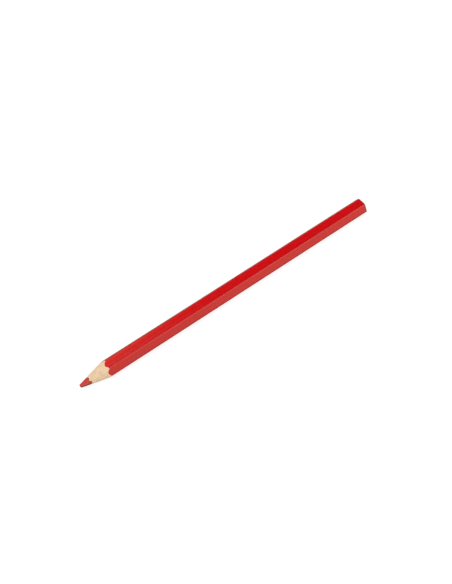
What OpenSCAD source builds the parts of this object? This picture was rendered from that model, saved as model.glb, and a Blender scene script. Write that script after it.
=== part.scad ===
// Carpenter pencil: a hexagonal wooden marking pencil with a thick red lead,
// sharpened to a short blunt point at one end and cut square at the other.
//
// Frame: the pencil lies on one of its flats. X runs along it, with the point
// towards -X and the cut end towards +X. Z is up and z = 0 is the plane that the
// bottom flat rests on. The origin is under the middle of the pencil's length.
// Two of the six ridges point along -Y and +Y, and the glue joint between the
// two slats is level, at the height of the lead.

/* [Barrel] */
// Overall length, from the blunt point to the cut end
length = 175; // [120:1:200]
// Size across opposite flats of the finished barrel
across_flats = 8.2; // [7.6:0.01:9]
// How much the rounding takes off each sharp ridge
ridge_cut = 0.2; // [0.1:0.01:0.3]

/* [Point] */
// Half angle of the sharpened cone, in degrees
cone_half_angle = 13.7; // [11:0.1:20]
// Radius of the blunt tip
tip_radius = 0.74; // [0.4:0.02:1]
// How far the tip sits to the -Y side of the barrel's middle
tip_side = 0.2; // [0:0.01:0.3]
// How far the tip sits below the barrel's middle
tip_drop = 0.14; // [0:0.01:0.3]
// Angle, in degrees, by which the cone leans back to the barrel's middle, seen from above
cone_swing = 0.37; // [0:0.01:0.6]
// The same lean, seen from the side
cone_rise = 0.26; // [0:0.01:0.6]

/* [Lead] */
// Diameter of the lead
lead_diameter = 4; // [2.5:0.05:4.6]
// How far the lead lies to the -Y side of the barrel's middle
lead_side = 0.16; // [0:0.01:0.25]
// How far the lead and the glue joint lie below the barrel's middle
lead_drop = 0.19; // [0:0.01:0.25]

/* [Joint and coats] */
// Thickness of the glue film between the slats
glue_thickness = 0.08; // [0.04:0.01:0.2]
// Thickness of the primer and filler under the lacquer
primer_thickness = 0.06; // [0.04:0.01:0.12]
// Thickness of the red lacquer
lacquer_thickness = 0.09; // [0.05:0.01:0.2]

/* [Hidden] */
axis_z = across_flats / 2;
ridge_radius = across_flats / sqrt(3) - ridge_cut;
wood_inset = lacquer_thickness + primer_thickness;
joint_z = axis_z - lead_drop;
glue_bottom = joint_z - glue_thickness / 2;
glue_top = joint_z + glue_thickness / 2;
// How far the cone and the layers reach beyond the barrel
margin = 5;
// How far a cutting shape runs past the face it cuts
overrun = 1;
$fn = 96;

// Stands a shape that is drawn along +Z onto the barrel's axis, with z = 0 at the point's end
module along_barrel() {
    translate([-length / 2, 0, axis_z]) rotate([0, 90, 0]) children();
}

// The hexagonal barrel, taken in by `inset` on every side, with its six ridges
// turned down to a common radius. It runs `extra` past each end.
module barrel(inset, extra = 0) {
    full_length = length + 2 * extra;
    translate([-extra, 0, 0]) along_barrel() intersection() {
        rotate([0, 0, 30])
            cylinder(h = full_length, r = (across_flats - 2 * inset) / sqrt(3), $fn = 6);
        cylinder(h = full_length, r = ridge_radius - inset);
    }
}

// The rod that the lead fills, run `extra` past each end
module lead_rod(extra = 0) {
    translate([-extra, -lead_side, -lead_drop])
        along_barrel() cylinder(h = length + 2 * extra, d = lead_diameter);
}

// Everything inside the cone that the sharpener cuts. From the shoulder back it
// is wider than the barrel, so it leaves the rest of the barrel alone.
module sharpened_space() {
    slope = tan(cone_half_angle);
    reach = length + margin;
    translate([0, -tip_side, -tip_drop])
        along_barrel() rotate([-cone_swing, -cone_rise, 0]) translate([0, 0, -overrun])
            cylinder(
                h = reach + overrun,
                r1 = tip_radius - overrun * slope,
                r2 = tip_radius + reach * slope
            );
}

// Cuts a shape to the sharpened point
module sharpened() {
    intersection() {
        children();
        sharpened_space();
    }
}

// A level layer across the whole pencil, between two heights
module layer(bottom, top) {
    translate([-length / 2 - margin, -across_flats, bottom])
        cube([length + 2 * margin, 2 * across_flats, top - bottom]);
}

// The part of the wood casing, with its groove, that lies between two heights
module casing(bottom, top) {
    difference() {
        intersection() {
            sharpened() barrel(wood_inset);
            layer(bottom, top);
        }
        lead_rod(extra = overrun);
    }
}

// A skin on the barrel, from `inset` below the finished surface to `thickness` deeper
module skin(inset, thickness) {
    difference() {
        sharpened() barrel(inset);
        barrel(inset + thickness, extra = overrun);
    }
}

module lead_core() {
    color([0.78, 0.28, 0.24]) sharpened() lead_rod();
}

module upper_slat() {
    color([0.90, 0.76, 0.60]) casing(glue_top, across_flats + margin);
}

module lower_slat() {
    color([0.88, 0.73, 0.57]) casing(-margin, glue_bottom);
}

// Two strips, one on each side of the lead
module glue_line() {
    color([0.90, 0.82, 0.64]) casing(glue_bottom, glue_top);
}

module primer_coat() {
    color([0.93, 0.87, 0.80]) skin(lacquer_thickness, primer_thickness);
}

module lacquer_coat() {
    color([0.80, 0.05, 0.08]) skin(0, lacquer_thickness);
}

lead_core();
upper_slat();
lower_slat();
glue_line();
primer_coat();
lacquer_coat();
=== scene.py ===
"""Looks for a sharpened carpenter pencil: six detailed pieces, their materials, and the studio.

The pencil lies along x on the floor, its point towards -x and its sawn end towards +x.
Meshes are worked out in millimetres from the barrel's own axis (y across it, z up from it)
and become metres above the floor when an object is made. Angles round the barrel start at +y
and turn towards +z.
"""

import math

import bmesh
import bpy
import numpy as np
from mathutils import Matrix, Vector


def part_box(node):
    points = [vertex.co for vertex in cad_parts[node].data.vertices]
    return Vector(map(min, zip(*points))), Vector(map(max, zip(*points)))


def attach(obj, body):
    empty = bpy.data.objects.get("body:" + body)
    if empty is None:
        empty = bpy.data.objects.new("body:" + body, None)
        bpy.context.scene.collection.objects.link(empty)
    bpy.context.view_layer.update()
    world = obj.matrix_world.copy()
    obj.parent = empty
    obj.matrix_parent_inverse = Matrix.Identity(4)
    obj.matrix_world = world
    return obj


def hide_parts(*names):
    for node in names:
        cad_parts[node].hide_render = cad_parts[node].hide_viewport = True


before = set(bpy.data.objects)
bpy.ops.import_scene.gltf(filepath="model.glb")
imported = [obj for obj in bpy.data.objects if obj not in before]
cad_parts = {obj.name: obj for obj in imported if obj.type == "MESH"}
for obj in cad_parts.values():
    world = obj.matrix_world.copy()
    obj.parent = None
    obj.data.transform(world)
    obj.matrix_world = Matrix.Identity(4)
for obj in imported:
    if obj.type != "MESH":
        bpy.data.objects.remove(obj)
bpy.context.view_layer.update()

# ---------------------------------------------------------------- sizes from the CAD, in mm
MM = 1000.0  # millimetres in a metre
coat_lo, coat_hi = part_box("lacquer_coat")
lead_lo, lead_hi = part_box("lead_core")
glue_lo, glue_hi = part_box("glue_line")
primer_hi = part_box("primer_coat")[1]
slat_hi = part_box("upper_slat")[1]

ACROSS_FLATS = (coat_hi.z - coat_lo.z) * MM
AXIS_Z = ACROSS_FLATS / 2  # height of the barrel's axis above the floor
X0, X1 = lead_lo.x * MM, lead_hi.x * MM  # the point and the sawn end
LEAD_R = (lead_hi.y - lead_lo.y) / 2 * MM
LEAD_Y = (lead_hi.y + lead_lo.y) / 2 * MM
LEAD_Z = (lead_hi.z + lead_lo.z) / 2 * MM - AXIS_Z
GLUE_TOP = glue_hi.z * MM - AXIS_Z
GLUE_LOW = glue_lo.z * MM - AXIS_Z
LACQUER_THICK = (coat_hi.z - primer_hi.z) * MM
PRIMER_THICK = (primer_hi.z - slat_hi.z) * MM
PAINT_THICK = LACQUER_THICK + PRIMER_THICK

# ---------------------------------------------------------------- chosen sizes, in mm
RIDGE_ROUND = 1.306  # rounding of the six ridges
CONE_SLOPE = math.tan(math.radians(13.7))
TIP_R = 0.74  # the cone's radius at X0
TIP_Y, TIP_Z = -0.20, -0.14  # the cone's axis at X0
SWING, RISE = math.tan(math.radians(0.37)), math.tan(math.radians(0.26))  # its drift in y and z
X_EVEN = X0 + 21.0  # from here back the barrel's stations are evenly spaced
X_MELD = X0 + 12.0  # from here back the lead's rod is round
X_END_ROW = X1 - 1.0  # the last plain station before the sawn end

HALF_STEPS = 168  # mesh columns round each half
CONE_STEPS = 92  # stations along the bare wood
GLUE_STEPS = 46  # stations along the bare glue line
END_STEPS = 16  # rings across the wood's sawn end
LEAD_STEPS = 84  # stations along the bare lead
LEAD_TABLE_R = 2.0  # the rod radius that LEAD_EDGE was measured for

# The rod is not quite round where it meets the wood, so the sharpened edge between the two
# runs unevenly: (degrees round the lead, radius in mm).
LEAD_EDGE = [
    (0, 2.03), (18, 1.95), (36, 1.84), (54, 1.86), (67, 2.00),
    (80, 2.09), (92, 2.09), (102, 2.01), (111, 1.99), (120, 2.03),
    (132, 2.09), (143, 2.15), (152, 2.16), (162, 2.12), (177, 2.01),
    (189, 1.90), (205, 1.92), (226, 2.03), (246, 2.07), (262, 1.98),
    (280, 1.95), (300, 2.04), (318, 2.09), (338, 2.0), (360, 2.03),
]

# How far the lacquer has flaked back from the blade's cut, baring the pale primer:
# (degrees round the barrel, depth in mm).
FLAKED = [
    (0, 0.16), (8, 0.30), (18, 0.62), (30, 0.74), (41, 0.58), (52, 0.30),
    (60, 0.22), (66, 0.40), (73, 0.66), (82, 0.80), (92, 0.74), (101, 0.50),
    (108, 0.26), (117, 0.12), (123, 0.16), (129, 0.44), (135, 0.60), (143, 0.76),
    (152, 0.78), (161, 0.62), (170, 0.26), (180, 0.14), (190, 0.34), (199, 0.66),
    (212, 0.58), (222, 0.70), (233, 0.34), (241, 0.16), (251, 0.40), (262, 0.72),
    (270, 0.60), (280, 0.74), (291, 0.44), (300, 0.20), (309, 0.30), (320, 0.64),
    (331, 0.80), (342, 0.50), (352, 0.30), (360, 0.16),
]

# Darker marks on the upper slat's cone, in mm with z up from the floor:
# (centre), (half length along x, half width across), how dark.
WOOD_MARKS = [
    ((-78.76, 0.14, 6.86), (0.50, 0.16), 0.55),
    ((-79.73, -1.12, 6.44), (0.42, 0.16), 0.50),
    ((-80.72, -0.91, 6.26), (0.36, 0.14), 0.40),
    ((-78.40, -0.30, 6.93), (0.40, 0.12), 0.40),
    ((-75.50, -2.35, 6.92), (0.45, 0.14), 0.30),
    ((-75.80, -3.32, 5.67), (0.50, 0.16), 0.30),
    ((-75.17, -1.88, 7.30), (0.16, 0.62), 0.34),
    ((-74.07, -1.15, 7.90), (0.20, 0.26), 0.30),
    ((-74.49, -2.49, 7.13), (0.20, 0.26), 0.30),
]


# ---------------------------------------------------------------- curves and unevenness
def smooth(start, end, value):
    t = np.clip((np.asarray(value, float) - start) / (end - start), 0, 1)
    return t * t * (3 - 2 * t)


def waves(seed, count, lo, hi):
    """Waves in (u, v) with wave numbers between lo and hi, for smooth unevenness."""
    rng = np.random.default_rng(seed)
    number = rng.uniform(lo, hi, count)
    heading = rng.uniform(0, 2 * np.pi, count)
    phase = rng.uniform(0, 2 * np.pi, count)
    weight = rng.uniform(0.5, 1.0, count)
    weight = weight / np.sqrt((weight**2).sum() / 2)
    return number * np.cos(heading), number * np.sin(heading), phase, weight


def uneven(wave_set, u, v=0.0):
    """Sum of the waves at (u, v), of unit spread."""
    total = 0.0
    for number_u, number_v, phase, weight in zip(*wave_set):
        total = total + weight * np.sin(number_u * u + number_v * v + phase)
    return total


def round_table(table, window, degrees):
    """Reads a closed table of (degrees, value), smoothed over window half-degree steps."""
    measured = np.array(table)
    dense = np.linspace(0, 360, 721)
    values = np.interp(dense, measured[:, 0], measured[:, 1])
    kernel = np.hanning(window)
    half = window // 2
    wrapped = np.concatenate([values[-half - 1:-1], values, values[1:half + 1]])
    values = np.convolve(wrapped, kernel / kernel.sum(), "valid")
    return np.interp(degrees, dense, values)


def bisect(is_short, lo, hi, halvings):
    """The value, column by column, at which is_short(value) turns from true to false."""
    for _ in range(halvings):
        mid = (lo + hi) / 2
        short = is_short(mid)
        lo, hi = np.where(short, mid, lo), np.where(short, hi, mid)
    return (lo + hi) / 2


cut_hollows = waves(11, 9, 0.25, 0.9)
cut_fine = waves(12, 14, 1.5, 5.0)
cut_chatter = waves(13, 8, 0.4, 1.6)
lead_edge_grain = waves(21, 10, 5, 26)
skin_dents = waves(31, 12, 0.05, 0.35)
skin_fine = waves(32, 12, 0.5, 1.6)
flake_ragged = waves(41, 14, 9, 46)
rim_worn = waves(51, 8, 2, 9)
sawn = waves(61, 10, 0.6, 3.0)
tip_worn = waves(71, 9, 1.2, 4.5)
lead_scraped = waves(72, 14, 2.0, 9.0)


# ---------------------------------------------------------------- mesh columns
# Every piece shares these columns. They fan out round the barrel's axis, and bend near the
# sides so that the first and last of each half lie in the glue joint's two planes.
half_turn = np.linspace(0, 180, HALF_STEPS + 1)
ANGLE = np.radians(np.concatenate([half_turn, half_turn + 180]))
JOINT_Z = np.repeat([GLUE_TOP, GLUE_LOW], HALF_STEPS + 1)
from_side = np.degrees(np.minimum(np.minimum(ANGLE, abs(ANGLE - np.pi)), abs(2 * np.pi - ANGLE)))
BEND = (1 - smooth(0, 55, from_side)) * np.sign(np.cos(ANGLE))
ALL = np.arange(len(ANGLE))
UPPER, LOWER = ALL[:HALF_STEPS + 1], ALL[HALF_STEPS + 1:]


def at(radius, cols=ALL):
    """(y, z) at a radius along each column's curve."""
    bend = BEND[cols] * smooth(0.7, 1.7, radius)
    lean = np.arcsin(np.clip(JOINT_Z[cols] / np.maximum(radius, 1e-6), -1, 1))
    angle = ANGLE[cols] + bend * lean
    return radius * np.cos(angle), radius * np.sin(angle)


def reach(distance, cols=ALL, limit=6.0):
    """The radius along each column's curve at which distance(y, z) turns positive."""
    return bisect(lambda radius: distance(*at(radius, cols)) < 0, 0.0, limit, 44)


def row(x, radius, cols=ALL):
    """One mesh row: a point per column, at x."""
    y, z = at(radius, cols)
    return np.broadcast_to(x, y.shape), y, z


def face_row(face_x, radius, cols=ALL, shift=0.0):
    """One mesh row on the face whose x is face_x(y, z), moved by shift along x."""
    y, z = at(radius, cols)
    return face_x(y, z) + shift, y, z


# ---------------------------------------------------------------- the pencil's surfaces
def hex_distance(y, z):
    """Signed distance from the barrel's surface, a hexagon with rounded ridges."""
    inner = ACROSS_FLATS / 2 - RIDGE_ROUND
    mirror_y, mirror_z, half_side = -0.866025404, 0.5, 0.577350269
    py, pz = np.abs(y), np.abs(z)
    fold = 2 * np.minimum(mirror_y * py + mirror_z * pz, 0)
    py, pz = py - fold * mirror_y, pz - fold * mirror_z
    py = py - np.clip(py, -half_side * inner, half_side * inner)
    pz = pz - inner
    return np.hypot(py, pz) * np.sign(pz) - RIDGE_ROUND


def hex_radius(depth):
    """Radius of the hexagon that lies depth below the barrel's surface."""
    return reach(lambda y, z: hex_distance(y, z) + depth)


R_LACQUER, R_PRIMER, R_WOOD = (hex_radius(d) for d in (0.0, LACQUER_THICK, PAINT_THICK))


def cut_detail(x, angle):
    """Unevenness the blade left on the cone, in mm: soft hollows, and fine turned ridges."""
    s = x - X0
    around = angle * 2.2
    soft = 0.014 * uneven(cut_hollows, s * 0.8, around * 1.6)
    soft = soft + 0.004 * uneven(cut_fine, s * 0.6, around * 2.4)
    pitch = 0.42
    turns = s / pitch + angle / (2 * np.pi)
    ridges = 0.0035 * np.sin(2 * np.pi * turns + 0.8 * uneven(cut_chatter, s, around))
    return (soft + ridges) * smooth(0.2, 1.5, s)


def cone_radius(x, cols=ALL, detail=True):
    """Radius of the sharpened surface along each column's curve, at x."""
    s = x - X0
    centre_y, centre_z = TIP_Y + SWING * s, TIP_Z + RISE * s
    cone = TIP_R + CONE_SLOPE * s
    if detail:
        cone = cone + cut_detail(x, ANGLE[cols])
    return reach(lambda y, z: np.hypot(y - centre_y, z - centre_z) - cone, cols, limit=9.0)


def cone_meets(radius):
    """x at which the sharpened surface reaches the radius, for every column."""
    return bisect(lambda x: cone_radius(x) < radius, X0 + 0.5, X0 + 24.0, 40)


def lead_rod_radius(angle):
    """Radius of the lead about its own axis, near the point, by angle in radians."""
    table = round_table(LEAD_EDGE, 17, np.degrees(angle) % 360)
    return table * LEAD_R / LEAD_TABLE_R + 0.05 + 0.010 * uneven(lead_edge_grain, angle)


def lead_radius(wild):
    """Radius of the lead's rod along each column's curve: round at wild 0, uneven at 1."""
    def distance(y, z):
        dy, dz = y - LEAD_Y, z - LEAD_Z
        rod = LEAD_R + wild * (lead_rod_radius(np.arctan2(dz, dy)) - LEAD_R)
        return np.hypot(dy, dz) - rod

    return reach(distance, limit=4.0)


R_LEAD_CUT = lead_radius(1.0)
R_LEAD_ROUND = lead_radius(0.0)
X_LEAD = cone_meets(R_LEAD_CUT)
X_WOOD = cone_meets(R_WOOD)
X_PRIMER = cone_meets(R_PRIMER)
X_LACQUER = cone_meets(R_LACQUER)


def lead_wall(x, cols=ALL):
    """Radius, along each column's curve, of the face where the lead and the wood meet."""
    t = smooth(0, 1, (x - X_LEAD[cols]) / (X_MELD - X_LEAD[cols]))
    return R_LEAD_CUT[cols] + (R_LEAD_ROUND[cols] - R_LEAD_CUT[cols]) * t


def cone_stations(cols, steps):
    """x, outer radius and lead wall radius, from the lead's edge back to the primer's."""
    for i in range(steps + 1):
        x = X_LEAD[cols] + (X_WOOD[cols] - X_LEAD[cols]) * (i / steps)
        if i == 0:
            outer = R_LEAD_CUT[cols]
        elif i == steps:
            outer = R_WOOD[cols]
        else:
            outer = np.minimum(cone_radius(x, cols), R_WOOD[cols])
        yield x, outer, lead_wall(x, cols)


def end_x(y, z):
    """The pencil's cut end, which the saw left leaning by a degree or so."""
    return X1 - 0.125 - 0.0238 * y - 0.0173 * z


def wood_end_x(y, z):
    """The wood's cut end, which dips a few hundredths of a millimetre."""
    return end_x(y, z) - 0.024 + 0.014 * np.clip(uneven(sawn, y, z) * 0.5, -1, 1)


# ---------------------------------------------------------------- meshes
BEFORE, AFTER = 0, 1  # which band a row's place on the texture map belongs to
JOINT_RECT = (0.004, 0.730, 0.996, 0.990)  # where the slats' joint faces go on the map


def band_places(grid, bands, wide):
    """Each row's places on the texture map, in the band before it and in the band after it.

    bands are (first row, last row, (u0, v0, u1, v1)).
    """
    spots = np.zeros((len(grid), wide + 1, 2, 2))
    columns = np.arange(wide + 1) % grid.shape[1]
    for first, last, (u0, v0, u1, v1) in bands:
        ks = np.arange(first, last + 1) % len(grid)
        along = np.linalg.norm(np.diff(grid[ks], axis=0), axis=2).mean(1)
        around = np.linalg.norm(np.diff(grid[ks][:, columns], axis=1), axis=2).mean(0)
        u = np.concatenate([[0], np.cumsum(around)])
        v = np.concatenate([[0], np.cumsum(along)])
        u, v = u0 + (u1 - u0) * u / u[-1], v0 + (v1 - v0) * v / v[-1]
        for i, k in enumerate(ks):
            place = np.stack([u, np.full(wide + 1, v[i])], 1)
            if i < len(ks) - 1:
                spots[k, :, AFTER] = place
            if i:
                spots[k, :, BEFORE] = place
    return spots


def joint_places(points, side):
    """Texture places of a joint face: u along the pencil, v by radius, a strip for each side."""
    u0, v0, u1, v1 = JOINT_RECT
    places = []
    for x, y, z in points:
        out = min(max((math.hypot(y, z) - 1.5) / 3.2, 0), 1)
        u = (x - X0) / (X1 - X0)
        places.append((u0 + (u1 - u0) * u, v0 + (v1 - v0) * (out * 0.46 + side * 0.54)))
    return places


def surface(name, rows, bands, sharp=32, ring=True, loop=True, poles=(), joints=()):
    """Makes an object from mesh rows.

    ring joins the last column to the first, and loop the last row to the first. Two poles
    close the first and last rows at a point. joints are extra faces, listed side by side.
    """
    grid = np.stack([np.stack(r, 1) for r in rows])
    m, n = grid.shape[:2]
    wide = n if ring else n - 1
    spots = band_places(grid, bands, wide)
    faces, places = [], []
    for k in range(m if loop else m - 1):
        k2 = (k + 1) % m
        for j in range(wide):
            j2 = (j + 1) % n
            faces.append((k * n + j, k * n + j2, k2 * n + j2, k2 * n + j))
            places += [spots[k, j, AFTER], spots[k, j + 1, AFTER]]
            places += [spots[k2, j + 1, BEFORE], spots[k2, j, BEFORE]]
    ends = zip(poles, (0, m - 1), (AFTER, BEFORE), (-0.010, 0.010))
    for i, (_, k, side, tip_shift) in enumerate(ends):
        for j in range(n):
            here, following = spots[k, j, side], spots[k, j + 1, side]
            corners = [(k * n + (j + 1) % n, following), (k * n + j, here)]
            if i == 1:
                corners.reverse()
            faces.append((m * n + i, *(vertex for vertex, _ in corners)))
            places.append((here + following) / 2 + (0, tip_shift))
            places += [place for _, place in corners]
    points = np.concatenate([grid.reshape(-1, 3), np.array(poles, float).reshape(-1, 3)])
    for side, joint in enumerate(joints):
        for face in joint:
            faces.append(face)
            places += joint_places(points[list(face)], side)
    return make_object(name, points, faces, sharp, places)


def make_object(name, points, faces, sharp, places=None):
    """An object from points in mm about the barrel's axis. places are its texture places."""
    mesh = bpy.data.meshes.new(name)
    mesh.from_pydata(((points + [0, 0, AXIS_Z]) / MM).tolist(), [], faces)
    if places is not None:
        layer = mesh.uv_layers.new(name="OFBake")
        layer.data.foreach_set("uv", np.array(places, np.float32).ravel())
    mesh.validate()
    ob = bpy.data.objects.new(name, mesh)
    bpy.context.scene.collection.objects.link(ob)
    tidy(mesh, sharp)
    return ob


def tidy(mesh, sharp):
    """Merges doubled points, drops empty faces, turns faces outwards and marks sharp edges."""
    bm = bmesh.new()
    bm.from_mesh(mesh)
    bmesh.ops.remove_doubles(bm, verts=bm.verts, dist=2e-7)
    bmesh.ops.dissolve_degenerate(bm, edges=bm.edges, dist=1e-8)
    bmesh.ops.recalc_face_normals(bm, faces=bm.faces)
    # recalc_face_normals can turn a thin hollow skin inside out, so the volume that each
    # shell encloses decides
    left = set(bm.faces)
    while left:
        front = [left.pop()]
        shell = list(front)
        while front:
            near = {g for e in front.pop().edges for g in e.link_faces} & left
            left -= near
            front += near
            shell += near
        volume = sum(f.calc_center_median().dot(f.normal) * f.calc_area() for f in shell)
        if volume < 0:
            bmesh.ops.reverse_faces(bm, faces=shell)
    for face in bm.faces:
        face.smooth = True
    bm.to_mesh(mesh)
    bm.free()
    mesh.set_sharp_from_angle(angle=math.radians(sharp))
    mesh.update()


# ---------------------------------------------------------------- lacquer
def lacquer_skin(x):
    """Outer radius of the lacquer: the hexagon with a slight ripple."""
    around = ANGLE * 4.2
    ripple = 0.0045 * uneven(skin_dents, x, around * 1.3)
    ripple = ripple + 0.0016 * uneven(skin_fine, x * 0.7, around * 2.0)
    return R_LACQUER - 0.010 + np.clip(ripple, -0.012, 0.009)


def flake_depth():
    table = round_table(FLAKED, 13, np.degrees(ANGLE))
    return np.clip(table + 0.030 * uneven(flake_ragged, ANGLE), 0.04, 1.2)


def rim_wear():
    """How far the cut end's rim is rubbed away, in mm. The ridges wear most."""
    ridge = 0.5 + 0.5 * np.cos(6 * ANGLE)
    return np.clip(0.035 + 0.030 * ridge**3 + 0.010 * uneven(rim_worn, ANGLE), 0.02, 0.085)


def lacquer_shell():
    inner_x = X_PRIMER + flake_depth()
    edge_width = 0.05 + 0.02 * uneven(flake_ragged, 1.7 * ANGLE, 1.0) ** 2
    outer_x = np.maximum(X_LACQUER, inner_x + edge_width)
    edge_r = lacquer_skin(outer_x) - 0.006  # the skin's edge is very slightly rolled over

    # the broken edge, from the primer up to the outer skin
    rows = []
    for t in (0.0, 0.25, 0.5, 0.75):
        x = inner_x + (outer_x - inner_x) * t
        rows.append(row(x, R_PRIMER + (edge_r - R_PRIMER) * t**0.8))
    skin_first = len(rows)
    rows.append(row(outer_x, edge_r))

    # the skin
    start = outer_x + 0.03
    rows.append(row(start, lacquer_skin(start)))
    for t in np.linspace(0, 1, 34)[1:-1] ** 1.35:
        x = start + (X_EVEN - start) * t
        rows.append(row(x, lacquer_skin(x)))
    last_few = X1 - np.array([2.2, 1.5, 1.0, 0.65, 0.42])
    for x in np.concatenate([np.linspace(X_EVEN, X1 - 3.0, 112), last_few]):
        rows.append(row(x, lacquer_skin(x)))
    skin_last = len(rows) - 1

    # the rim at the cut end, rubbed round
    wear = rim_wear()
    for angle in np.linspace(0, 1, 6) * math.pi / 2:
        radius = lacquer_skin(X1) - wear * (1 - math.cos(angle))
        rows.append(face_row(end_x, radius, shift=-wear * (1 - math.sin(angle))))
    rows.append(face_row(end_x, R_PRIMER + 0.2 * LACQUER_THICK))
    rim_last = len(rows) - 1

    # back along the inside
    rows.append(face_row(end_x, R_PRIMER))
    for x in np.linspace(X_END_ROW, X_EVEN, 10):
        rows.append(row(x, R_PRIMER))
    for t in (0.35, 0.7):
        rows.append(row(X_EVEN + (inner_x - X_EVEN) * t, R_PRIMER))

    bands = [
        (0, skin_first, (0.004, 0.935, 0.996, 0.955)),
        (skin_last, rim_last, (0.004, 0.960, 0.996, 0.976)),
        (rim_last, len(rows), (0.004, 0.981, 0.996, 0.996)),
    ]
    # the skin goes on the map as four pieces of about the same length
    xs = np.array([np.mean(r[0]) for r in rows[:skin_last + 1]])
    first_x, length = xs[skin_first], xs[-1] - xs[skin_first]
    cuts = [int(np.searchsorted(xs, first_x + length * part)) for part in (0.25, 0.5, 0.75)]
    cuts = [skin_first, *cuts, skin_last]
    for i in range(4):
        u, v = 0.5 * (i % 2), 0.466 * (i // 2)
        bands.append((cuts[i], cuts[i + 1], (u + 0.004, v + 0.004, u + 0.496, v + 0.462)))
    return surface("lacquer_shell", rows, bands)


# ---------------------------------------------------------------- primer
def primer_film():
    rows = []
    for t in (0.0, 0.34, 0.67, 1.0):
        rows.append(row(X_WOOD + (X_PRIMER - X_WOOD) * t, R_WOOD + (R_PRIMER - R_WOOD) * t))
    for distance in (0.1, 0.3, 0.6, 1.2):
        rows.append(row(X_PRIMER + distance, R_PRIMER))
    back = np.linspace(X_EVEN, X_END_ROW, 9)
    rows += [row(x, R_PRIMER) for x in back]
    rows += [face_row(end_x, radius, shift=-0.006) for radius in (R_PRIMER, R_WOOD)]
    rows += [row(x, R_WOOD) for x in back[::-1]]
    bands = (
        (0, 3, (0.004, 0.004, 0.996, 0.250)),
        (3, 7, (0.004, 0.260, 0.996, 0.700)),
        (7, 16, (0.004, 0.710, 0.996, 0.780)),
        (16, 17, (0.004, 0.790, 0.996, 0.900)),
        (17, len(rows), (0.004, 0.910, 0.996, 0.990)),
    )
    return surface("primer_film", rows, bands)


# ---------------------------------------------------------------- wood and glue
def wood_slat(name, cols):
    """One slat: the bare cone, the outside under the paint, the cut end and the groove."""
    wood, lead_side = R_WOOD[cols], R_LEAD_ROUND[cols]
    outer, groove = [], []
    for x, radius, wall in cone_stations(cols, CONE_STEPS):
        outer.append(row(x, radius, cols))
        groove.append(row(x, wall, cols))
    for x in np.linspace(X_EVEN, X_END_ROW, 12):
        outer.append(row(x, wood, cols))
        groove.append(row(x, lead_side, cols))
    end = [
        face_row(wood_end_x, wood + (lead_side - wood) * (i / END_STEPS), cols)
        for i in range(END_STEPS + 1)
    ]
    rows = outer + end + groove[::-1]

    # the two joint faces, each between an edge of the outside and an edge of the groove
    m, n, end_first = len(rows), len(cols), len(outer)
    groove_first = end_first + len(end)
    joints = []
    for j in (0, n - 1):
        out = [k * n + j for k in range(end_first)]
        back = [(m - 1 - k) * n + j for k in range(end_first)]
        rim = [k * n + j for k in range(end_first, groove_first)]
        faces = [(out[k], out[k + 1], back[k + 1], back[k]) for k in range(end_first - 1)]
        joints.append(faces + [(out[-1], *rim, back[-1])])
    bands = (
        (0, CONE_STEPS, (0.004, 0.004, 0.700, 0.640)),
        (CONE_STEPS, end_first - 1, (0.004, 0.650, 0.996, 0.720)),
        (end_first - 1, groove_first, (0.710, 0.004, 0.996, 0.400)),
        (groove_first, m - 1, (0.710, 0.410, 0.996, 0.640)),
    )
    return surface(name, rows, bands, sharp=38, ring=False, loop=False, joints=joints)


def glue_strip(cols):
    """Points and faces of one strip of glue, between the two given edge columns."""
    wood, lead_side = R_WOOD[cols], R_LEAD_ROUND[cols]
    rows = []
    for i, (x, outer, wall) in enumerate(cone_stations(cols, GLUE_STEPS)):
        inset = 0.012 * (0 < i < GLUE_STEPS)
        rows += [row(x, outer - inset, cols), row(x, wall, cols)]
    for x in np.linspace(X_EVEN, X_END_ROW, 13):
        rows += [row(x, wood, cols), row(x, lead_side, cols)]
    rows += [face_row(end_x, radius, cols, shift=-0.035) for radius in (wood, lead_side)]
    points = np.concatenate([np.stack(r, 1) for r in rows])
    last = len(points) - 4
    faces = []
    for p in range(0, last, 4):
        for a, b in ((0, 1), (1, 3), (3, 2), (2, 0)):
            faces.append((p + a, p + b, p + 4 + b, p + 4 + a))
    faces += [tuple(p + corner for corner in (0, 1, 3, 2)) for p in (0, last)]
    return points, faces


def glue_film():
    """The two strips of glue between the slats, on the +y and the -y side of the lead."""
    strips, faces = [], []
    for edges in ((LOWER[-1], UPPER[0]), (UPPER[-1], LOWER[0])):
        first = sum(len(s) for s in strips)
        points, strip_faces = glue_strip(np.array(edges))
        strips.append(points)
        faces += [tuple(first + i for i in face) for face in strip_faces]
    return make_object("glue_film", np.concatenate(strips), faces, sharp=40)


# ---------------------------------------------------------------- lead
def tip_flat_x(y, z):
    """The blunt end: a worn flat that leans a little."""
    wear = 0.022 * uneven(tip_worn, y, z)
    return X0 + 0.27 - 0.03 * (y - TIP_Y) - 0.20 * (z - TIP_Z) + wear


def tip_edge_x():
    """x at which the cone meets the worn flat, for every column."""
    return bisect(
        lambda x: x < tip_flat_x(*at(cone_radius(x, detail=False))), X0 - 0.6, X0 + 1.5, 30
    )


def scrape(x):
    return 0.006 * uneven(lead_scraped, (x - X0) * 0.5, ANGLE * 2.0)


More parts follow.
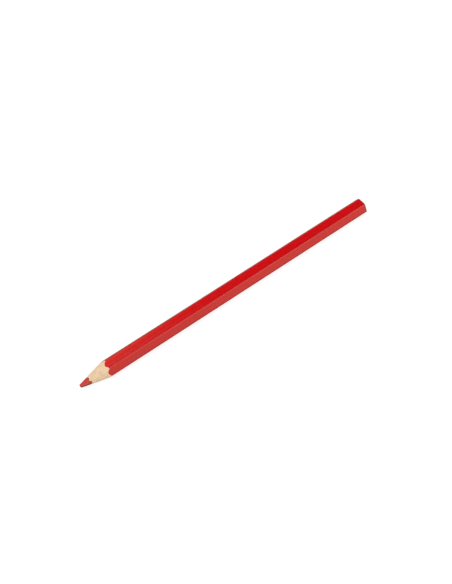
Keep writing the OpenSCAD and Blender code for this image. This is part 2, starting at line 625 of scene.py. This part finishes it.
def lead_rod():
    # the cut end's disc, from the middle out
    rows = [
        face_row(wood_end_x, R_LEAD_ROUND * t, shift=-0.01) for t in np.linspace(0.12, 1, 12)
    ]
    disc_last = len(rows) - 1
    # forward inside the wood
    for x in np.linspace(X_END_ROW, X_EVEN, 10):
        rows.append(row(x, R_LEAD_ROUND))
    for t in np.linspace(0, 1, 15)[:-1]:
        x = X_MELD + (X_LEAD - X_MELD) * t
        rows.append(row(x, lead_wall(x)))
    rows.append(row(X_LEAD, R_LEAD_CUT))
    bare = len(rows) - 1

    # the bare cone
    edge_x = tip_edge_x()
    edge_r = cone_radius(edge_x, detail=False)
    rounding = 0.30  # how far the blunt end's rounding reaches back along the cone
    round_x = edge_x + rounding
    for i in range(1, LEAD_STEPS + 1):
        t = i / LEAD_STEPS
        x = X_LEAD + (round_x - X_LEAD) * t
        radius = cone_radius(x) + scrape(x) * smooth(0, 0.12, t)
        rows.append(row(x, np.minimum(radius, R_LEAD_CUT)))
    cone_last = len(rows) - 1

    # the rounding from the cone into the flat, then the flat
    round_r = cone_radius(round_x) + scrape(round_x)
    flat_r = edge_r - rounding * 0.85
    flat_x = tip_flat_x(*at(flat_r))
    for t in np.linspace(0, 1, 12)[1:]:
        start, corner, end = (1 - t) ** 2, 2 * t * (1 - t), t * t
        x = start * round_x + corner * edge_x + end * flat_x
        rows.append(row(x, start * round_r + corner * edge_r + end * flat_r))
    for t in np.linspace(1, 0.15, 9)[1:]:
        rows.append(face_row(tip_flat_x, flat_r * t))

    poles = ((float(np.mean(rows[0][0])), 0.0, 0.0), (float(tip_flat_x(0.0, 0.0)), 0.0, 0.0))
    bands = (
        (0, disc_last, (0.004, 0.015, 0.996, 0.165)),
        (disc_last, bare, (0.004, 0.175, 0.996, 0.215)),
        (bare, cone_last, (0.004, 0.225, 0.996, 0.800)),
        (cone_last, len(rows) - 1, (0.004, 0.810, 0.996, 0.980)),
    )
    return surface("lead_rod", rows, bands, sharp=50, loop=False, poles=poles)


# ---------------------------------------------------------------- node helpers
WHITE = (1, 1, 1, 1)


def srgb(*channels):
    """A colour given as it looks on screen, 0 to 255, in linear light."""
    def linear(c):
        c /= 255
        return c / 12.92 if c <= 0.04045 else ((c + 0.055) / 1.055) ** 2.4

    return (*(linear(c) for c in channels), 1.0)


class Nodes:
    """A short way to write the node tree of a material or a world."""

    def __init__(self, owner):
        owner.use_nodes = True
        self.tree = owner.node_tree
        self.tree.nodes.clear()

    def add(self, kind, inputs=None, **settings):
        """inputs are {socket name or number: value or socket}."""
        node = self.tree.nodes.new("ShaderNode" + kind)
        for name, value in settings.items():
            setattr(node, name, value)
        for key, value in (inputs or {}).items():
            if isinstance(value, bpy.types.NodeSocket):
                self.tree.links.new(value, node.inputs[key])
            else:
                node.inputs[key].default_value = value
        return node

    def math(self, operation, *values):
        return self.add("Math", dict(enumerate(values)), operation=operation).outputs[0]

    def plus(self, a, b):
        return self.math("ADD", a, b)

    def minus(self, a, b):
        return self.math("SUBTRACT", a, b)

    def times(self, a, b):
        return self.math("MULTIPLY", a, b)

    def linear(self, value, scale, offset):
        return self.math("MULTIPLY_ADD", value, scale, offset)

    def ramp(self, value, *stops, shape="LINEAR"):
        """stops are (place, value)."""
        node = self.add("ValToRGB")
        node.color_ramp.interpolation = shape
        elements = node.color_ramp.elements
        while len(elements) < len(stops):
            elements.new(0.5)
        for element, (place, level) in zip(elements, stops):
            element.position = place
            element.color = (level, level, level, 1)
        self.tree.links.new(value, node.inputs[0])
        return node.outputs[0]

    def rise(self, value, start, end, low=0.0, high=1.0):
        """Goes smoothly from low at start to high at end."""
        inputs = {"Value": value, "From Min": start, "From Max": end, "To Min": low, "To Max": high}
        return self.add("MapRange", inputs, interpolation_type="SMOOTHSTEP").outputs[0]

    def fall(self, value, start, end):
        return self.rise(value, start, end, low=1.0, high=0.0)

    def band(self, value, rise_start, rise_end, fall_start, fall_end):
        """1 between rise_end and fall_start, fading smoothly to 0 outside."""
        return self.times(
            self.rise(value, rise_start, rise_end), self.fall(value, fall_start, fall_end)
        )

    def split(self, vector):
        return self.add("SeparateXYZ", {0: vector}).outputs

    def light(self, kind, strength, colour=WHITE):
        """An Emission or a Background."""
        return self.add(kind, {0: colour, 1: strength}).outputs[0]

    def mix_shader(self, amount, a, b):
        return self.add("MixShader", {0: amount, 1: a, 2: b}).outputs[0]

    def add_shader(self, a, b):
        return self.add("AddShader", {0: a, 1: b}).outputs[0]


class Material(Nodes):
    """A principled material whose patterns are placed in mm, with z up from the floor."""

    def __init__(self, name):
        self.material = bpy.data.materials.new(name)
        super().__init__(self.material)
        place = self.add("TexCoord").outputs["Object"]
        self.mm = self.add("VectorMath", {0: place, "Scale": MM}, operation="SCALE").outputs[0]

    def mapping(self, along, across, shift):
        """The place in mm, scaled along and across the pencil and then shifted."""
        scale = (along, across, across)
        inputs = {"Vector": self.mm, "Scale": scale, "Location": shift}
        return self.add("Mapping", inputs).outputs[0]

    def noise(self, along, across, detail, rough, shift=(0, 0, 0)):
        """Noise with the given features per mm along and across the pencil."""
        inputs = {
            "Vector": self.mapping(along, across, shift),
            "Scale": 1.0, "Detail": detail, "Roughness": rough,
        }
        return self.add("TexNoise", inputs).outputs["Fac"]

    def distance(self, y, z, centre_y, centre_z):
        """Distance from a line along x."""
        dy = self.minus(y, centre_y)
        dz = self.minus(z, centre_z)
        return self.math("SQRT", self.plus(self.times(dy, dy), self.times(dz, dz)))

    def blend(self, base, colour, amount):
        """Lays colour over base. Sockets 6 and 7 and output 2 are the colour ones."""
        node = self.add("Mix", {0: amount, 6: base, 7: colour}, data_type="RGBA")
        return node.outputs[2]

    def bump(self, *layers):
        """Stacks bumps, given as (height, metres for a height of 1)."""
        normal = None
        for height, depth in layers:
            inputs = {"Distance": depth, "Height": height}
            if normal is not None:
                inputs["Normal"] = normal
            normal = self.add("Bump", inputs).outputs[0]
        return normal

    def finish(self, colour, rough, normal, ior=None):
        inputs = {"Base Color": colour, "Roughness": rough, "Normal": normal}
        if ior is not None:
            inputs["IOR"] = ior
        shader = self.add("BsdfPrincipled", inputs)
        self.add("OutputMaterial", {0: shader.outputs[0]})
        return self.material


# ---------------------------------------------------------------- materials
def add_painted_sheen(t, base, x, turn, mottle):
    """Painted reflection: lightens the upper flat towards the point with a pale sheen, most along
    its +y side and in a narrow streak.
    """
    painted_sheen = t.times(t.band(turn, 52.0, 63.0, 66.0, 86.0), 0.16)
    painted_sheen = t.plus(painted_sheen, t.times(t.band(turn, 98.6, 102.2, 103.2, 106.8), 0.13))
    painted_sheen = t.times(painted_sheen, t.ramp(t.linear(x, 1 / 90.0, 0.97), (0.28, 1.0), (0.80, 0.0)))
    painted_sheen = t.times(painted_sheen, t.ramp(mottle, (0.3, 0.75), (0.7, 1.1)))
    return t.blend(base, srgb(214, 104, 92), painted_sheen)


def add_ridge_lines(t, base, turn):
    """Deepens the red along one side of each ridge; round the upper ridge on the +y side, at 60, it
    adds a wider band of painted shade.
    """
    between, beside_ridge = 30.0, 5.5  # half the angle between ridges; the line's offset
    shifted = t.plus(turn, 360.0 + beside_ridge + between)
    away = t.math("ABSOLUTE", t.minus(t.math("PINGPONG", shifted, between), between))
    line = t.ramp(t.times(away, 0.1), (0.12, 0.85), (0.46, 0.0), shape="EASE")
    base = t.blend(base, srgb(176, 3, 10), line)
    # painted shade: a wider darker band round the upper ridge on the +y side, at 60
    plus_y_ridge_painted_shade = t.times(t.band(turn, 51.0, 56.0, 62.0, 68.0), 0.8)
    return t.blend(base, srgb(168, 6, 12), plus_y_ridge_painted_shade)


def lacquer_material():
    t = Material("red_gloss_lacquer")
    cloud = t.noise(along=0.05, across=0.35, detail=3.0, rough=0.55)
    mottle = t.noise(along=0.8, across=1.6, detail=3.0, rough=0.6, shift=(3, 1, 5))
    base = t.blend(srgb(203, 5, 13), srgb(208, 9, 18), t.ramp(cloud, (0.3, 0.0), (0.7, 1.0)))
    base = t.blend(base, srgb(197, 4, 12), t.ramp(mottle, (0.35, 0.0), (0.75, 0.35)))

    # a few fine rubs that run mostly along the barrel
    rub = t.noise(along=0.35, across=9.0, detail=4.0, rough=0.7, shift=(7, 2, 1))
    rub_here = t.noise(along=0.06, across=0.5, detail=2.0, rough=0.5, shift=(1, 9, 4))
    rubs = t.times(
        t.ramp(rub, (0.66, 0.0), (0.72, 1.0)), t.ramp(rub_here, (0.5, 0.0), (0.66, 1.0))
    )
    base = t.blend(base, srgb(222, 60, 58), t.times(rubs, 0.25))

    x, y, z = t.split(t.mm)
    turn = t.times(t.math("ARCTAN2", t.minus(z, AXIS_Z), y), 180 / math.pi)  # in degrees
    # painted reflection: a pale sheen on the upper flat towards the point
    base = add_painted_sheen(t, base, x, turn, mottle)
    # deeper red beside each ridge, with a band of painted shade round the ridge at 60
    base = add_ridge_lines(t, base, turn)
    # painted shade: the flat that faces up and -y is darker towards the point
    painted_flat_shade = t.times(
        t.band(turn, 112.0, 121.0, 175.0, 182.0),
        t.ramp(t.linear(x, 1 / 180.0, 0.5), (0.08, 0.55), (0.72, 0.08)),
    )
    base = t.blend(base, srgb(188, 4, 12), painted_flat_shade)
    # the lacquer is browner over roughly the last millimetre before the cut end
    rim_x = t.plus(x, t.times(t.minus(mottle, 0.5), 0.9))
    rim = t.band(rim_x, X1 - 1.35, X1 - 0.45, X1 + 2.0, X1 + 3.0)
    base = t.blend(base, srgb(152, 46, 36), t.times(rim, 0.55))

    smear = t.noise(along=0.25, across=1.2, detail=4.0, rough=0.6, shift=(4, 4, 2))
    rough = t.plus(t.ramp(smear, (0.3, 0.17), (0.7, 0.27)), t.times(rubs, 0.22))
    peel = t.noise(along=0.9, across=1.7, detail=2.0, rough=0.5, shift=(2, 8, 3))
    dust = t.noise(along=5.0, across=5.0, detail=1.0, rough=0.5, shift=(9, 1, 6))
    specks = t.ramp(dust, (0.74, 0.0), (0.80, 1.0))
    return t.finish(base, rough, t.bump((peel, 6e-6), (specks, 5e-6), (rubs, -2.5e-6)), ior=1.52)


def wood_material(name, pith, shift, marks=()):
    """Pale fine-grained casing wood. pith is the growth rings' centre in (y, z), in mm."""
    t = Material(name)
    # growth rings, wandering a little along the pencil, each darkening towards its late wood
    wander = t.noise(along=0.035, across=0.22, detail=2.0, rough=0.5, shift=shift)
    x, y, z = t.split(t.mm)
    radius = t.distance(y, z, *pith)
    radius = t.plus(radius, t.times(wander, 2.6))
    radius = t.plus(radius, t.times(x, 0.02))
    rings_per_mm = 0.86
    year = t.math("FRACT", t.times(radius, rings_per_mm))
    late = t.ramp(year, (0.0, 0.0), (0.55, 0.18), (0.86, 1.0), (0.94, 0.9), (1.0, 0.0))

    fibre = t.noise(along=0.55, across=13.0, detail=4.0, rough=0.62, shift=shift)
    soft = t.noise(along=0.28, across=1.5, detail=3.0, rough=0.6, shift=shift)
    tone = t.ramp(soft, (0.3, 0.0), (0.7, 1.0))
    base = t.blend(srgb(233, 206, 166), srgb(238, 206, 175), tone)
    base = t.blend(base, srgb(220, 182, 138), t.times(late, 0.34))
    base = t.blend(base, srgb(208, 170, 128), t.ramp(fibre, (0.34, 0.34), (0.52, 0.0)))
    base = t.blend(base, srgb(246, 226, 194), t.ramp(fibre, (0.56, 0.0), (0.75, 0.30)))

    # short dark pores and flecks lying along the grain
    turned = (shift[1], shift[2], shift[0])
    pore = t.noise(along=0.9, across=11.0, detail=2.0, rough=0.5, shift=shift)
    spot = t.noise(along=0.35, across=0.9, detail=2.0, rough=0.5, shift=turned)
    flecks = t.times(
        t.ramp(pore, (0.57, 0.0), (0.69, 1.0)), t.ramp(spot, (0.42, 0.0), (0.62, 1.0))
    )
    base = t.blend(base, srgb(170, 128, 86), t.times(flecks, 0.8))

    for (mark_x, mark_y, mark_z), (long, wide), dark in marks:
        centre = (-mark_x / long, -mark_y / wide, -mark_z / wide)
        place = t.mapping(1.0 / long, 1.0 / wide, centre)
        away = t.add("VectorMath", {0: place}, operation="LENGTH").outputs["Value"]
        away = t.plus(away, t.times(pore, 1.2))
        mark = t.ramp(t.times(away, 0.5), (0.42, 1.0), (0.80, 0.0))
        base = t.blend(base, srgb(186, 150, 104), t.times(mark, dark))

    rough = t.ramp(fibre, (0.3, 0.62), (0.7, 0.80))
    normal = t.bump((fibre, 2.2e-5), (flecks, -2.0e-5), (late, 0.8e-5))
    return t.finish(base, rough, normal, ior=1.4)


def add_painted_underside_shade(t, base, x, y, z, body):
    """Painted shade: darkens the blunt end's side that faces -y and down, and more faintly on up
    the cone.
    """
    down = t.plus(
        t.times(t.minus(y, TIP_Y), -0.894), t.times(t.minus(z, TIP_Z + AXIS_Z), -0.448)
    )
    down = t.plus(down, t.times(t.minus(body, 0.5), 0.35))
    along = t.minus(x, X0)
    share = t.math("DIVIDE", down, t.linear(along, CONE_SLOPE, TIP_R))
    underside_shade = t.times(t.band(share, 0.36, 0.80, 2.0, 3.0), 0.36)
    end = t.times(t.band(down, -0.05, 0.36, 2.0, 3.0), t.band(along, -2.0, -1.0, 0.55, 1.5))
    return t.blend(base, srgb(104, 58, 54), t.math("MAXIMUM", underside_shade, t.times(end, 0.9)))


def lead_material():
    t = Material("red_wax_lead")
    body = t.noise(along=1.1, across=1.6, detail=4.0, rough=0.6)
    grit = t.noise(along=7.0, across=7.0, detail=3.0, rough=0.6, shift=(4, 2, 7))
    drag = t.noise(along=0.8, across=7.0, detail=3.0, rough=0.6, shift=(2, 5, 1))
    base = t.blend(srgb(190, 51, 43), srgb(203, 65, 57), t.ramp(body, (0.3, 0.0), (0.7, 1.0)))
    base = t.blend(base, srgb(176, 42, 38), t.ramp(drag, (0.36, 0.45), (0.5, 0.0)))
    base = t.blend(base, srgb(226, 112, 102), t.ramp(grit, (0.60, 0.0), (0.74, 0.5)))
    base = t.blend(base, srgb(150, 34, 32), t.ramp(grit, (0.28, 0.45), (0.38, 0.0)))
    # the outside of the rod is darker and browner, where wax has soaked into the groove
    x, y, z = t.split(t.mm)
    radius = t.distance(y, z, LEAD_Y, LEAD_Z + AXIS_Z)
    soak = t.plus(radius, t.times(t.minus(body, 0.5), 0.5))
    soaked = t.ramp(t.times(soak, 0.4), (0.762, 0.0), (0.809, 0.88))
    base = t.blend(base, srgb(124, 66, 50), soaked)
    # painted shade on the lead's side that faces -y and down
    base = add_painted_underside_shade(t, base, x, y, z, body)
    rough = t.ramp(drag, (0.3, 0.36), (0.7, 0.56))
    return t.finish(base, rough, t.bump((drag, 1.6e-5), (grit, 1.0e-5)), ior=1.45)


def primer_material():
    t = Material("pale_primer")
    cloud = t.noise(along=2.0, across=4.0, detail=3.0, rough=0.6)
    fleck = t.noise(along=6.0, across=9.0, detail=3.0, rough=0.6, shift=(5, 1, 2))
    tone = t.ramp(cloud, (0.3, 0.0), (0.7, 1.0))
    base = t.blend(srgb(236, 194, 168), srgb(240, 202, 176), tone)
    base = t.blend(base, srgb(228, 158, 136), t.ramp(fleck, (0.6, 0.0), (0.75, 0.6)))
    rough = t.ramp(fleck, (0.3, 0.55), (0.7, 0.75))
    return t.finish(base, rough, t.bump((fleck, 1.0e-5)))


def glue_material():
    t = Material("dried_wood_glue")
    streak = t.noise(along=1.2, across=6.0, detail=3.0, rough=0.6)
    base = t.blend(srgb(206, 176, 128), srgb(228, 202, 158), streak)
    return t.finish(base, t.ramp(streak, (0.3, 0.4), (0.7, 0.6)), t.bump((streak, 0.8e-5)))


# ---------------------------------------------------------------- the pencil
lacquer = lacquer_shell()
primer = primer_film()
upper = wood_slat("wood_upper", UPPER)
lower = wood_slat("wood_lower", LOWER)
glue = glue_film()
lead = lead_rod()
upper_wood = wood_material(
    "casing_wood_upper", pith=(14.0, -19.0), shift=(0.0, 0.0, 0.0), marks=WOOD_MARKS
)
lower_wood = wood_material("casing_wood_lower", pith=(-17.0, 26.0), shift=(31.0, 7.0, 13.0))

# piece, its material, the CAD piece it replaces, its slot
for piece, material, node, slot in (
    (lacquer, lacquer_material(), "lacquer_coat", "red_lacquer"),
    (primer, primer_material(), "primer_coat", "primer"),
    (upper, upper_wood, "upper_slat", "casing_wood"),
    (lower, lower_wood, "lower_slat", "casing_wood"),
    (glue, glue_material(), "glue_line", "glue"),
    (lead, lead_material(), "lead_core", "red_lead"),
):
    piece.data.materials.append(material)
    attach(piece, "root")
    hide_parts(node)


# ---------------------------------------------------------------- floor and surroundings, in m
WARM = (1.0, 0.97, 0.72, 1)  # the tint of what the gloss mirrors
BACKDROP = 1.05  # brightness of the plain white behind everything
FLOOR_HALF = 3.0
FLOOR_DROP = 0.00002  # keeps the floor just clear of the pencil
SHADE_HALF_LENGTH = 0.0835  # how far along x the mirrored floor stays dark beside the pencil


def floor_material():
    """A plain white floor, seen differently by each kind of ray.

    The camera sees it evenly lit, with only a trace of the pencil's shadow. The gloss mirrors
    it as white that darkens close beside the pencil.
    """
    material = bpy.data.materials.new("white_floor")
    t = Nodes(material)
    path = t.add("LightPath").outputs
    position = t.add("NewGeometry").outputs["Position"]

    # for diffuse light
    plain = t.add("BsdfDiffuse", {0: (0.9, 0.9, 0.9, 1)}).outputs[0]
    lit = t.add_shader(plain, t.light("Emission", strength=0.26))

    # for the gloss
    x, y, _ = t.split(position)
    past_end = t.minus(t.math("ABSOLUTE", x), SHADE_HALF_LENGTH)
    away = t.math("MAXIMUM", t.math("ABSOLUTE", y), past_end)
    brightness = t.rise(away, 0.004, 0.030, low=0.10, high=1.08)
    sheen = t.light("Emission", strength=brightness, colour=WARM)

    # for the camera; well away from the pencil the floor turns plain white, like the backdrop
    faint = t.add("BsdfDiffuse", {0: (0.19, 0.19, 0.19, 1)}).outputs[0]
    shadowed = t.add_shader(faint, t.light("Emission", strength=0.87))
    distance = t.add("VectorMath", {0: position}, operation="LENGTH").outputs["Value"]
    far_white = t.light("Emission", strength=BACKDROP)
    seen = t.mix_shader(t.rise(distance, 0.16, 0.60), shadowed, far_white)

    unseen = t.mix_shader(path["Is Glossy Ray"], lit, sheen)
    t.add("OutputMaterial", {0: t.mix_shader(path["Is Camera Ray"], unseen, seen)})
    return material


def make_floor():
    mesh = bpy.data.meshes.new("floor")
    corners = [(i * FLOOR_HALF, j * FLOOR_HALF, 0) for i, j in ((-1, -1), (1, -1), (1, 1), (-1, 1))]
    mesh.from_pydata(corners, [], [(0, 1, 2, 3)])
    ob = bpy.data.objects.new("floor", mesh)
    bpy.context.scene.collection.objects.link(ob)
    ob.location = (0, 0, -FLOOR_DROP)
    mesh.materials.append(floor_material())


def make_world():
    """Soft white surroundings. Diffuse light comes evenly from all round; the gloss mirrors a
    bright horizon, a broad light on the -y side and a soft light overhead."""
    world = bpy.data.worlds.new("studio")
    bpy.context.scene.world = world
    t = Nodes(world)
    path = t.add("LightPath").outputs
    dx, dy, dz = t.split(t.add("TexCoord").outputs["Generated"])

    horizon = t.ramp(dz, (0.0, 1.0), (0.28, 0.85), (0.60, 0.0), shape="EASE")
    # the -y half of the sky is a broad soft light
    near = t.fall(dy, -0.38, -0.02)
    # overhead there is a weaker light, cut off towards +x
    overhead = t.times(t.times(t.fall(dx, 0.18, 0.255), t.rise(dz, 0.60, 0.74)), 0.68)
    # the -y light is brightest low down, which draws a thin light line along the -y ridge
    low_strength = 1.0
    low = t.times(
        t.times(t.rise(dz, 0.10, 0.30), t.fall(dz, 0.58, 0.78)), t.times(near, low_strength)
    )
    sides = t.plus(t.times(t.math("MAXIMUM", horizon, near), 1.08), low)
    brightness = t.math("MAXIMUM", sides, overhead)

    mirrored = t.light("Background", strength=brightness, colour=WARM)
    ambient = t.light("Background", strength=0.308)
    backdrop = t.light("Background", strength=BACKDROP)
    unseen = t.mix_shader(path["Is Glossy Ray"], ambient, mirrored)
    t.add("OutputWorld", {0: t.mix_shader(path["Is Camera Ray"], unseen, backdrop)})


def aim(ob, direction):
    ob.rotation_mode = "QUATERNION"
    ob.rotation_quaternion = direction.to_track_quat("-Z", "Y")


def disk_light(name, place, target, size, power):
    data = bpy.data.lights.new(name, "AREA")
    data.shape = "DISK"
    data.size = size
    data.energy = power
    ob = bpy.data.objects.new(name, data)
    bpy.context.scene.collection.objects.link(ob)
    ob.location = place
    aim(ob, Vector(target) - Vector(place))
    ob.visible_glossy = False  # the gloss mirrors the drawn surroundings instead


make_floor()
make_world()
disk_light(
    "overhead_soft_light", place=Vector((-0.20, -0.06, 0.97)).normalized() * 1.2,
    target=(0, 0, 0), size=0.9, power=11.8,
)
# a weak low light that keeps the cut end from going dull
disk_light("end_fill", place=(0.72, 0.20, 0.14), target=(0.08, 0, 0), size=0.5, power=0.7)

scene = bpy.context.scene
scene.view_settings.view_transform = "Standard"
scene.view_settings.look = "None"

# ---------------------------------------------------------------- camera
AZIMUTH = math.radians(-37.0941)  # turned from -y towards -x
ELEVATION = math.radians(57.8682)
EYE_BACK, EYE_RIGHT, EYE_UP = 394.7816, -1.7552, -0.9313  # mm, in the camera's own directions
EYE_SHIFT = Vector((0.42, 0, 0))  # mm towards -x
EYE_SCALE = 1.0015  # moves the camera slightly further out
LENS, SENSOR = 49.0686103, 36.0  # mm


def make_camera():
    flat = math.cos(ELEVATION)
    back = Vector((math.sin(AZIMUTH) * flat, -math.cos(AZIMUTH) * flat, math.sin(ELEVATION)))
    right = Vector((math.cos(AZIMUTH), math.sin(AZIMUTH), 0))
    upward = back.cross(right)
    eye = (back * EYE_BACK + right * EYE_RIGHT + upward * EYE_UP - EYE_SHIFT) * EYE_SCALE
    data = bpy.data.cameras.new("camera")
    data.sensor_width = SENSOR
    data.lens = LENS
    data.clip_start, data.clip_end = 0.01, 20
    camera = bpy.data.objects.new("camera", data)
    scene.collection.objects.link(camera)
    camera.location = (eye + Vector((0, 0, AXIS_Z))) / MM
    aim(camera, -back)
    scene.camera = camera


make_camera()

bpy.context.view_layer.update()
